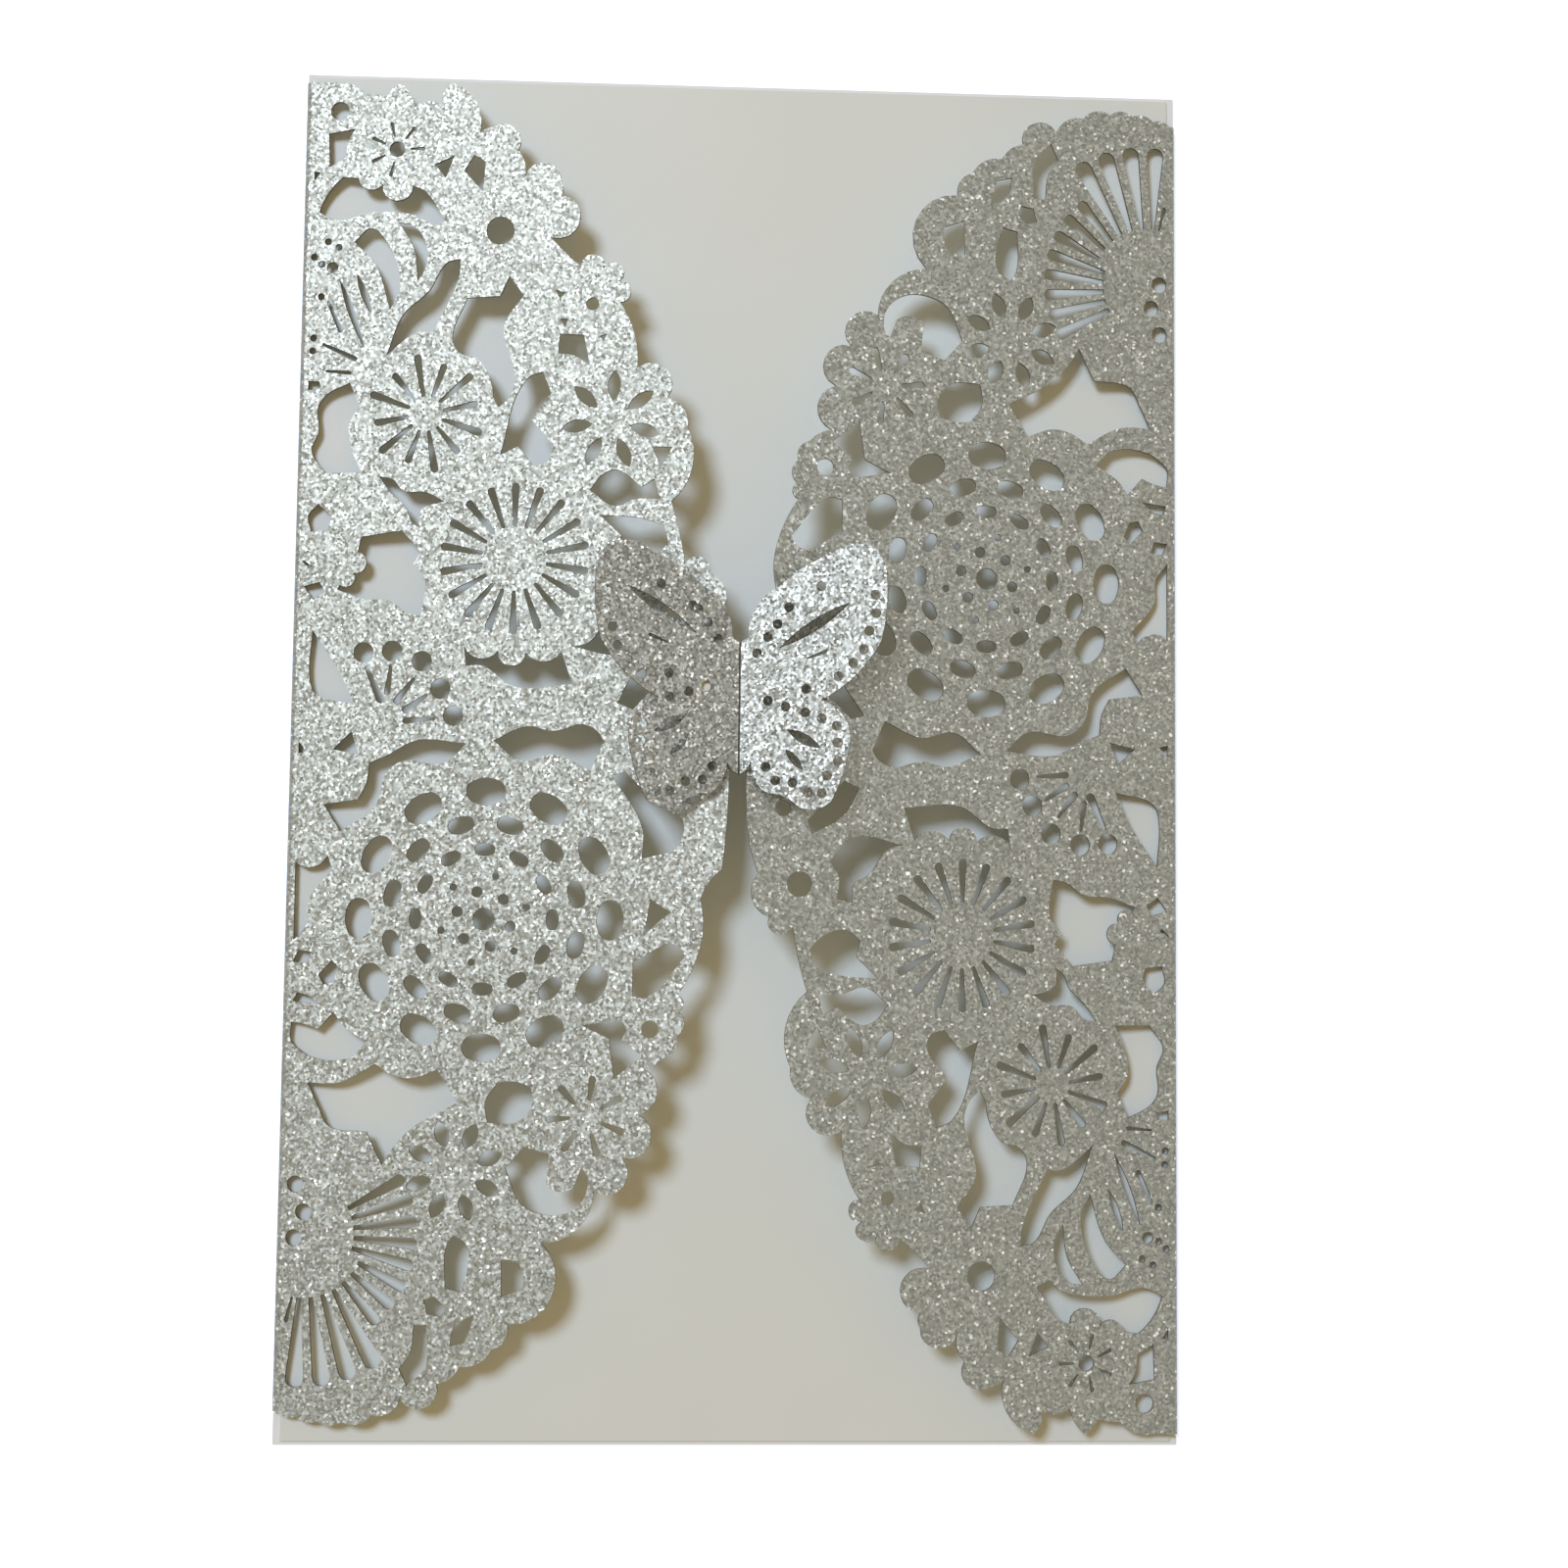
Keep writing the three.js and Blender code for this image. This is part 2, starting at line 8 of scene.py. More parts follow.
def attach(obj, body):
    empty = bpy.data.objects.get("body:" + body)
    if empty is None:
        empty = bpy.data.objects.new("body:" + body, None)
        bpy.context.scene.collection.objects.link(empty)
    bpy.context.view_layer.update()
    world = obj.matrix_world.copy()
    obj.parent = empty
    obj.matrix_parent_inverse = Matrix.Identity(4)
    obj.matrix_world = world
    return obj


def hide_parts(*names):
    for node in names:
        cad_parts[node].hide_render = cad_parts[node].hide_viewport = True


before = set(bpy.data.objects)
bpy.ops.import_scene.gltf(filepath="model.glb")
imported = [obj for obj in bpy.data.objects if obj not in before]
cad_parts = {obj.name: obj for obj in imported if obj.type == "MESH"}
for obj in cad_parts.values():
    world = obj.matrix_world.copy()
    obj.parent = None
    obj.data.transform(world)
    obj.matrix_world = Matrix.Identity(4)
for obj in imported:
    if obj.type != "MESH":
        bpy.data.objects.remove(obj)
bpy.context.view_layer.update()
mm = 0.001
print("frame loaded")


def linear(hexColour):  # sRGB hex to the linear colour that a socket takes
    channels = [int(hexColour[start:start + 2], 16) / 255 for start in (1, 3, 5)]
    return [c / 12.92 if c <= 0.04045 else ((c + 0.055) / 1.055) ** 2.4 for c in channels] + [1]


def addNode(tree, kind, settings, inputs):  # one node, with its settings, values and links
    node = tree.nodes.new(kind)
    for name, value in settings.items():
        setattr(node, name, value)
    for socket, value in inputs.items():
        if isinstance(value, bpy.types.NodeSocket):
            tree.links.new(value, node.inputs[socket])
        else:
            node.inputs[socket].default_value = value
    return node


def newMaterial(name):
    material = bpy.data.materials.new(name)
    material.use_nodes = True
    material.node_tree.nodes.clear()
    return material, material.node_tree


def finishMaterial(tree, shaderInputs):
    shader = addNode(tree, "ShaderNodeBsdfPrincipled", {}, shaderInputs)
    addNode(tree, "ShaderNodeOutputMaterial", {}, {"Surface": shader.outputs[0]})


# silver glitter card: flat metallised flakes glued at slightly different tilts, so the eye
# gets a salt-and-pepper grain, with single flakes flashing where they face the lamp
glitter = {
    "flake": 0.32,  # mm, a coarse grade of real flakes
    "tilt": 0.38,  # spread of the flakes' lean
    "greys": [(0, "#7d7c72"), (0.22, "#8b897d"), (0.6, "#98968a"), (0.85, "#a9a79b"),
              (0.97, "#dad7cc")],
    # the wings catch more single flakes, light and dark
    "wingGreys": [(0, "#73726a"), (0.25, "#89887e"), (0.55, "#9a988e"), (0.8, "#b6b4aa"),
                  (0.95, "#e8e6dc")],
    "dull": 0.5, "shiny": 0.34,  # roughness of the dullest and the shiniest flake
    "metal": 0.85,  # the rest is the clear lacquer over the flakes
    "score": 0.13, "scoreColour": "#3d3b36",  # half the width of a scored fold, mm
}


def makeGlitter(name, scored):
    material, tree = newMaterial(name)
    place = addNode(tree, "ShaderNodeTexCoord", {}, {})
    flakes = addNode(tree, "ShaderNodeTexVoronoi", {}, {
        "Vector": place.outputs["Object"], "Scale": 1 / (glitter["flake"] * mm)})
    lean = addNode(tree, "ShaderNodeVectorMath", {"operation": "SUBTRACT"},
                   {0: flakes.outputs["Color"], 1: (0.5, 0.5, 0.5)})
    tilt = addNode(tree, "ShaderNodeVectorMath", {"operation": "SCALE"},
                   {0: lean.outputs[0], "Scale": glitter["tilt"]})
    surface = addNode(tree, "ShaderNodeNewGeometry", {}, {})
    tilted = addNode(tree, "ShaderNodeVectorMath", {"operation": "ADD"},
                     {0: surface.outputs["Normal"], 1: tilt.outputs[0]})
    normal = addNode(tree, "ShaderNodeVectorMath", {"operation": "NORMALIZE"},
                     {0: tilted.outputs[0]})
    parts = addNode(tree, "ShaderNodeSeparateColor", {}, {0: flakes.outputs["Color"]})
    greys = addNode(tree, "ShaderNodeValToRGB", {}, {0: parts.outputs[2]})
    ramp = greys.color_ramp
    ramp.interpolation = "CONSTANT"
    steps = glitter["wingGreys" if scored else "greys"]
    while len(ramp.elements) < len(steps):
        ramp.elements.new(0.5)
    for element, (spot, colour) in zip(ramp.elements, steps):
        element.position = spot
        element.color = linear(colour)
    colour = greys.outputs[0]
    if scored:  # a fine dark line is drawn along the score
        parted = addNode(tree, "ShaderNodeSeparateXYZ", {}, {0: place.outputs["Object"]})
        away = addNode(tree, "ShaderNodeMath", {"operation": "ABSOLUTE"}, {0: parted.outputs[0]})
        line = addNode(tree, "ShaderNodeMath", {"operation": "LESS_THAN"},
                       {0: away.outputs[0], 1: glitter["score"] * mm})
        creaseLine = addNode(tree, "ShaderNodeMix", {"data_type": "RGBA"}, {
            0: line.outputs[0], 6: colour, 7: linear(glitter["scoreColour"])})
        colour = creaseLine.outputs[2]
    rough = addNode(tree, "ShaderNodeMapRange", {}, {
        0: parts.outputs[1], "To Min": glitter["shiny"], "To Max": glitter["dull"]})
    finishMaterial(tree, {
        "Base Color": colour, "Metallic": glitter["metal"], "Roughness": rough.outputs[0],
        "Normal": normal.outputs[0]})
    return material


# uncoated paper side of the glitter card: matt and faintly fibrous, with its grain drawn some
# five times coarser than real fibres so that it shows
lining = {"colour": "#e6eaec", "grain": 0.25, "relief": 0.01, "rough": 0.85}
# laser-cut edge: the paper core browned by the cut, and darker still with painted shade, since
# the walls facing away from the lamp look dark, so openings are drawn with a dark line; its
# grain is coarser than real too
cutEdge = {"colour": "#6d655a", "grain": 0.15, "relief": 0.02, "rough": 0.9}
# closed-cell foam pad: matt white, with its fine cells drawn at twice their size
foam = {"colour": "#f1f0ea", "grain": 0.35, "relief": 0.05, "rough": 0.95}


def makePaper(name, look):
    material, tree = newMaterial(name)
    place = addNode(tree, "ShaderNodeTexCoord", {}, {})
    grain = addNode(tree, "ShaderNodeTexNoise", {}, {
        "Vector": place.outputs["Object"], "Scale": 1 / (look["grain"] * mm), "Detail": 3})
    bump = addNode(tree, "ShaderNodeBump", {}, {
        "Height": grain.outputs[0], "Distance": look["relief"] * mm, "Strength": 1})
    finishMaterial(tree, {
        "Base Color": linear(look["colour"]), "Roughness": look["rough"],
        "Normal": bump.outputs[0]})
    return material


# pearlescent card: a smooth off-white sheet with a soft sheen, slow clouds of tone and a grain
# coarser than real that hardly shows
pearl = {"colour": "#dbdfdb", "cloud": "#d3d7d2", "cloudSize": 30, "grain": 0.3,
         "relief": 0.004, "rough": 0.5, "sheen": 0.1}


def makePearl():
    material, tree = newMaterial("pearl card")
    place = addNode(tree, "ShaderNodeTexCoord", {}, {})
    cloud = addNode(tree, "ShaderNodeTexNoise", {}, {
        "Vector": place.outputs["Object"], "Scale": 1 / (pearl["cloudSize"] * mm), "Detail": 2})
    tone = addNode(tree, "ShaderNodeMix", {"data_type": "RGBA"}, {
        0: cloud.outputs[0], 6: linear(pearl["colour"]), 7: linear(pearl["cloud"])})
    grain = addNode(tree, "ShaderNodeTexNoise", {}, {
        "Vector": place.outputs["Object"], "Scale": 1 / (pearl["grain"] * mm), "Detail": 2})
    bump = addNode(tree, "ShaderNodeBump", {}, {
        "Height": grain.outputs[0], "Distance": pearl["relief"] * mm, "Strength": 1})
    finishMaterial(tree, {
        "Base Color": tone.outputs[2], "Roughness": pearl["rough"],
        "Sheen Weight": pearl["sheen"], "Normal": bump.outputs[0]})
    return material


glitterCard = makeGlitter("silver glitter card", scored=False)
scoredCard = makeGlitter("scored glitter card", scored=True)
paperLining = makePaper("uncoated paper", lining)
# the cut walls' dark colour is part scorch from the cut, part painted shade
scorchedAndShadedEdge = makePaper("laser-cut edge", cutEdge)
foamPad = makePaper("closed-cell foam", foam)
pearlCard = makePearl()
glitterSide, liningSide, edgeSide = 0, 1, 2
print("materials made")

# Openings and edges are rows of corners (u from the card's side, v along it). The edge after
# a corner is an arc where a third number gives how far it stands out to the right.


drawing = {
    "sharpTurn": math.radians(55),  # corners that turn less are drawn round
    "handle": 0.34,  # share of a straight edge that its handles take
    "steps": 8,  # straight bits to an edge
    "weld": 1e-4,  # mm
}


def drawSpline(curve, rows, rounded):
    corners = [Vector(row[:2]) for row in rows]
    bulges = [row[2] if len(row) > 2 else 0 for row in rows]
    count = len(rows)

    def wayThrough(index, along):  # a corner that turns little is drawn round
        into = (corners[index] - corners[index - 1]).normalized()
        out = (corners[(index + 1) % count] - corners[index]).normalized()
        sharp = into.dot(out) < math.cos(drawing["sharpTurn"])
        sharp = sharp or bulges[index] or bulges[index - 1]
        return along if sharp or not rounded else (into + out).normalized()

    spline = curve.splines.new("BEZIER")
    spline.bezier_points.add(count - 1)
    spline.use_cyclic_u = True
    for point, corner in zip(spline.bezier_points, corners):
        point.handle_left_type = point.handle_right_type = "FREE"
        point.co = corner.to_3d()
    for index in range(count):
        following = (index + 1) % count
        chord = corners[following] - corners[index]
        along = chord.normalized()
        if bulges[index]:
            quarter = math.atan(2 * abs(bulges[index]) / chord.length)  # of the arc's sweep
            radius = chord.length / 2 / math.sin(2 * quarter)
            handle = 4 / 3 * math.tan(quarter) * radius
            turn = Matrix.Rotation(-2 * quarter * math.copysign(1, bulges[index]), 2)
            leaving = turn @ along * handle
            arriving = turn.inverted() @ along * handle
        else:
            handle = chord.length * drawing["handle"]
            leaving = wayThrough(index, along) * handle
            arriving = wayThrough(following, along) * handle
        spline.bezier_points[index].handle_right = (corners[index] + leaving).to_3d()
        spline.bezier_points[following].handle_left = (corners[following] - arriving).to_3d()


# A flat sheet cut to its edge and openings, then laid by its place function. The finishOf
# function picks the material of a face from its middle and its side of the sheet.
def cutSheet(edge, openings, thick, place, finishOf, rounded=True):
    curve = bpy.data.curves.new("cut", "CURVE")
    curve.dimensions = "2D"
    curve.fill_mode = "BOTH"
    curve.extrude = thick / 2
    curve.resolution_u = drawing["steps"]
    for rows in [edge, *openings]:
        drawSpline(curve, rows, rounded)
    drawn = bpy.data.objects.new("cut", curve)
    bpy.context.scene.collection.objects.link(drawn)
    mesh = bpy.data.meshes.new_from_object(
        drawn.evaluated_get(bpy.context.evaluated_depsgraph_get()))
    bpy.data.objects.remove(drawn)
    shape = bmesh.new()
    shape.from_mesh(mesh)
    bpy.data.meshes.remove(mesh)
    bmesh.ops.remove_doubles(shape, verts=shape.verts, dist=drawing["weld"])
    bmesh.ops.dissolve_degenerate(shape, edges=shape.edges, dist=drawing["weld"])
    for face in shape.faces:
        heights = [vertex.co.z for vertex in face.verts]
        side = 1 if min(heights) > 0 else -1 if max(heights) < 0 else 0
        face.material_index = finishOf(face.calc_center_median(), side)
        face.smooth = False
    bmesh.ops.recalc_face_normals(shape, faces=shape.faces)
    for vertex in shape.verts:
        vertex.co = place(*vertex.co)
    if shape.calc_volume(signed=True) < 0:  # laid mirrored
        bmesh.ops.reverse_faces(shape, faces=shape.faces)
    for vertex in shape.verts:
        vertex.co *= mm
    piece = bpy.data.meshes.new("cut")
    shape.to_mesh(piece)
    shape.free()
    return piece


def joined(name, meshes, outside):  # several laid sheets as one piece
    shape = bmesh.new()
    for mesh in meshes:
        shape.from_mesh(mesh)
        bpy.data.meshes.remove(mesh)
    # the wings meet at the crease, so the walls between them are dropped and the rims welded
    walls = [face for face in shape.faces if all(vertex.co.x == 0 for vertex in face.verts)]
    bmesh.ops.delete(shape, geom=walls, context="FACES_ONLY")
    rims = [vertex for vertex in shape.verts if vertex.co.x == 0]
    bmesh.ops.remove_doubles(shape, verts=rims, dist=drawing["weld"] * mm)
    whole = bpy.data.meshes.new(name)
    shape.to_mesh(whole)
    shape.free()
    for material in (outside, paperLining, scorchedAndShadedEdge):
        whole.materials.append(material)
    piece = bpy.data.objects.new(name, whole)
    bpy.context.scene.collection.objects.link(piece)
    return piece


# shapes that openings are cut to


def polar(centre, radius, degrees):
    turn = math.radians(degrees)
    return [centre[0] + radius * math.cos(turn), centre[1] + radius * math.sin(turn)]


def roundHole(u, v, radius):
    return [[u - radius, v, radius], [u + radius, v, radius]]


def acrossFrom(start, end, width):  # half the width, square to the way from start to end
    along = Vector(end) - Vector(start)
    return Vector((-along.y, along.x)).normalized() * width / 2


def slot(start, end, width, narrow=0.5):  # narrow near a flower's eye, round at its far end
    side = acrossFrom(start, end, width)
    heel = Vector(start)
    neck = Vector(end) + (heel - Vector(end)).normalized() * width / 2
    return [[*(heel + side * narrow), width / 2 * narrow], [*(heel - side * narrow)],
            [*(neck - side), width / 2], [*(neck + side)]]


def leaf(start, end, width):
    return [[*start, width / 2], [*end, width / 2]]


def pane(start, end, width, inset=0.22, sideBulge=0.08, endBulge=0.42):  # a flat-sided oval
    side = acrossFrom(start, end, width)
    ends = [Vector(start).lerp(Vector(end), share) for share in (inset, 1 - inset)]
    flat, domed = width * sideBulge, width * endBulge
    return [[*(ends[0] - side), flat], [*(ends[1] - side), domed],
            [*(ends[1] + side), flat], [*(ends[0] + side), domed]]


def spokes(centre, count, first, inner, outer, width, shape=slot):
    angles = [first + index * 360 / count for index in range(count)]
    return [shape(polar(centre, inner, angle), polar(centre, outer, angle), width)
            for angle in angles]


def seeds(centre, count, first, radius, size):
    return [roundHole(*polar(centre, radius, first + index * 360 / count), size)
            for index in range(count)]


def panes(centre, count, first, radius, length, width):
    shapes = []
    for index in range(count):
        angle = first + index * 360 / count
        middle = Vector(polar(centre, radius, angle))
        reach = Vector(polar((0, 0), length / 2, angle + 90))
        shapes.append(pane(middle - reach, middle + reach, width))
    return shapes


def fanRays(centre, count, first, last, innerAt, outerAt, widthAt, tip=0.3):
    rays = []
    for index in range(count):
        share = index / (count - 1)
        angle = first + (last - first) * share
        inner, outer, width = innerAt(share), outerAt(share), widthAt(share)
        shoulder = outer - width / 2
        narrow = math.degrees(tip / inner)
        wide = math.degrees(width / 2 / outer)
        rays.append([
            polar(centre, inner, angle - narrow),
            [*polar(centre, shoulder, angle - wide), width / 2],
            polar(centre, shoulder, angle + wide), polar(centre, inner, angle + narrow)])
    return rays


flapEdge = [
    [0, -88, 0.4], [3.3, -88.5, 0.5], [6.2, -89, 0.6], [9.4, -89, 0.8], [13.4, -88.1, 0.9],
    [17.2, -85.8, 2.3], [22, -83.8, 0.5], [25, -81.5, 0.8], [29.2, -79.2, 0.8], [31.2, -76, 4],
    [35.5, -65.4, 2], [42.3, -58.6, 2.6], [45.9, -54.1, 2.8], [48, -48.6, 2.2],
    [48.6, -42.6, 0.3], [51.6, -40.9, 0.7], [53, -38.3, 0.8], [53.2, -35.2, 0.7],
    [53, -33, 0.5], [56.2, -25, 0.2], [55.8, -20.5, -0.4], [58.6, -16.5, 0.2],
    [59.4, -4, 0.2], [59.5, 9, 0.4], [57.9, 17, 1.6], [56.4, 22.7, 1.7],
    [53.2, 23.8, 0.2], [51.2, 32.4, 1.8], [53.3, 42.3, 1], [50.5, 46.4, 2.6],
    [46.4, 50.5, 0.8], [43.9, 59.5, 1.6], [43.6, 62.3, 2.1], [41.4, 63.6, 2.1],
    [38.6, 64.4], [37.3, 65.5], [34.2, 68.6, 0.3], [37, 68.9, 2], [35.6, 74.3, 0.3],
    [35.6, 76.2, 2.4], [30.6, 76.8, 0.5], [29.6, 80.7, 1.9], [26.2, 84, 0.2],
    [24.3, 83.2, 1.6], [20.3, 90.3, 0.5], [19, 87.2, 0.7], [15.2, 87, 0.3],
    [13.2, 90.4, 0.3], [11.3, 88.5, 0.2], [8.3, 89, 0.7], [3.5, 90.7], [0, 90.9],
]

freeHoles = [
    # head of the flap
    [[3.5, 78.9], [5.8, 80.2], [6, 82.3], [7, 84.2], [3.3, 83.6]],
    [[1.4, 76.9], [2.3, 78.2], [1.4, 78.4]],
    [[18.1, 79], [19.7, 77], [20.9, 80.2]],
    [[22.2, 78], [24.9, 75], [25.2, 79.2], [23.6, 80.2]],
    [[2.2, 72.6], [4.8, 71.5], [10, 72.5], [16.2, 71.7], [18.2, 70.3], [19.8, 71.1],
      [16.9, 75.3], [15.2, 76.1, -2.2], [11, 76.4, -1.2], [7.6, 77.3], [5.5, 77.5, 0.5]],
    [[7.2, 68.4], [10.2, 65.2], [12.4, 58.9], [13.7, 61.5, 0.9], [10.8, 69.6, 0.4], [8.8, 70.1]],
    [[13.3, 71], [15.5, 67.3], [16.1, 62.8, 1.9], [15, 70.8]],
    [[12, 52.6], [16.4, 55.8], [18.4, 55.7], [21.9, 63.6], [22, 65.8], [20.2, 65.4],
      [17.8, 61.6], [14.2, 58.2]],
    [[21.1, 54.8], [22.2, 52.8], [24.5, 52.2, -0.6], [26.8, 46.8], [27.6, 45.3],
      [29, 46.6], [29.8, 49], [28.2, 56.5], [30.8, 60.6], [28.8, 63.4], [27.5, 60.6],
      [23, 60.4]],
    # beside the fold
    [[1.3, 48], [3.1, 48.2], [2.9, 49.2], [1.3, 49.3]],
    [[2, 39.6], [4, 36.6], [8.9, 36.6], [7.2, 41], [7.2, 43.6], [8.6, 45.6], [7.1, 49],
      [3.8, 47.3], [2.8, 45.8], [2.9, 42.3]],
    [[2.2, 28.6], [4.6, 28.9], [4.9, 30.6], [3.2, 32.4], [1.8, 30.9]],
    [[1.4, 21.2], [2.8, 19.3], [4.4, 20.5], [3.6, 21.8]],
    [[2.6, 8.5], [3.3, 6.8], [8.8, 5.2], [6.8, 9.4], [2.8, 15.3]],
    [[1.3, 0.2], [1.3, -1.4], [2.5, -1.1]],
    [[6, -0.8], [9.6, -1.6], [8.5, 1.6]],
    [[1.3, -15.9], [2.6, -16.6], [4.6, -16.2], [5.7, -15], [6.4, -16.9], [3.2, -21],
      [3, -24.2], [1.3, -26.4]],
    [[1.3, -29.2], [3.2, -29.4], [3.8, -27.8], [2, -27.6]],
    [[4.8, -30.8], [5.5, -32.2], [6.8, -31.9], [7.6, -29.9], [6.6, -28.9]],
    [[1.4, -34.4], [4.9, -34.8], [3.7, -33.7], [2, -33.2]],
    [[1.3, -39.6], [3.2, -41.3, 0.7], [9.8, -41.6], [11.6, -39.6], [8.4, -37.6],
      [7, -35.7], [4.9, -38.1, 0.2], [1.3, -37.1]],
    # between the round flowers of the upper half
    [[27.9, 38.8], [30.4, 40], [32.6, 37.3], [34.4, 37.9], [35, 39.6], [32.2, 43.6],
      [34.8, 47.2], [33.6, 50.2], [31.4, 49.2]],
    [[35.6, 52.6], [38, 52.2], [40, 50.8], [39.1, 55.1], [35.8, 55.3]],
    [[35.1, 61.3], [35.7, 60], [36.5, 60.9]],
    [[35.8, 57.4], [36.5, 56.1], [36.9, 57.3]],
    [[41.2, 54.9], [41.8, 54.2], [42.3, 55.2]],
    [[48.5, 39.8], [49.8, 36.9], [51.3, 39.7]],
    [[40.2, 34], [43.5, 31.8], [46.5, 32.7], [49.7, 32.7], [49, 35.5], [47.2, 34.4],
      [43.9, 36.7], [42, 36.2]],
    [[41.6, 30.6], [44.6, 27.8], [44, 25.6], [46.2, 24.2], [49, 25], [51, 26.8],
      [50.3, 29.2], [47, 30.2]],
    [[38.3, 12.9], [45.2, 12], [48.4, 15.2], [47.1, 17.2], [47.4, 20.2], [45.2, 20.7],
      [45, 18.2], [43, 16.9], [40.4, 13.5]],
    [[11.4, 36.1], [13.3, 35.7], [14.9, 34.1], [17.9, 33.9], [20.5, 32.6], [18.8, 32.2],
      [17.5, 31.6], [17.1, 30.1], [17.3, 28.9], [16.1, 29.8], [15.2, 31.8], [13.3, 33.6]],
    [[6, 20.7], [10, 19.4], [13.2, 19.2], [15.6, 17.6], [17.6, 17.1], [18, 22.2],
      [16.4, 24.2], [17.4, 25.8], [14.8, 28.7], [9.2, 27.9], [8.7, 25.8, -1.45],
      [8.3, 22.9, -1], [6.4, 21.4]],
    # the band across the middle
    [[23.9, 10.4], [26, 10.4], [30.5, 7.6], [38.3, 7.9], [36.8, 12.3, -1.3],
      [32, 12.2, -1.9], [28.2, 12.4, -1.5], [23.5, 13.4]],
    [[4.9, -8.2], [7.3, -11.8], [12, -8.4], [13.4, -4], [15.5, -2.4], [21.3, -2.6],
      [24.2, 0], [17.5, 0.4], [13.2, -1.7], [11, -2.6], [10.7, -5.2], [9.6, -7.5]],
    [[27.8, 0.4], [31.5, -2.3], [36, -1.5], [41, -3.6], [42.7, 0.3, 0.7], [39.2, 2.6],
      [36, 1.7], [32.3, 2.3]],
    [[44.4, 5.4], [46.5, 4.5], [51.4, 9.9], [50.9, 11.8], [46.3, 8.9]],
    [[43.8, -4.2], [48, -11.2], [48, -15.2], [52, -14.3, 0.7], [53.4, -10], [49.5, -7.4],
      [45.6, -3.7]],
    # round the rose window, and below it
    [[48.4, -25.4], [50, -23.8], [52, -22.2], [49.2, -20.5]],
    [[47, -33.2], [48.8, -33.4], [53.9, -28, 0.7], [51.3, -26.3], [47, -28.8]],
    [[40.4, -37.1], [44, -38.8], [44.7, -44], [48.4, -41], [45.7, -38.9], [46.4, -37.6],
      [45.6, -36.2]],
    [[27.7, -47.2], [28, -50], [32, -49.8], [34, -47.3], [33.8, -45.3, 0.5], [29.2, -44.8]],
    [[3.7, -45.1], [5.3, -48.4], [6.6, -50.7], [11.8, -51.4], [14, -55.8], [15.2, -53.8],
      [18, -50.8], [24, -47.4], [21.2, -43.1], [17.8, -44.3], [15.2, -43.9],
      [12.8, -42.5], [8, -45]],
    [[30.5, -55.8], [32.6, -60.3], [35, -61.6], [38.5, -61.6], [41, -59.6], [41.4, -56.6],
      [40.6, -55.6], [39.6, -58.2, -0.7], [36, -57.9], [36.3, -53.9], [33, -53]],
    [[22.8, -71.5], [22.9, -66], [23.8, -64.6], [25.6, -65.8], [25.8, -69], [24.9, -72]],
    [[30.2, -67.7], [30.3, -72.5], [33, -71.5, 0.5], [32.5, -68, 0.2]],
    [[23.6, -79], [25.6, -78.5], [26.9, -74.7], [24.1, -76.6]],
    [[16.9, -82], [18, -84.2], [20.4, -81.7], [20.5, -76.3], [18.8, -76.3], [18.3, -80]],
    [[20, -73], [20.5, -74.9], [22.3, -75.2], [23, -74], [21.5, -72.6]],
]

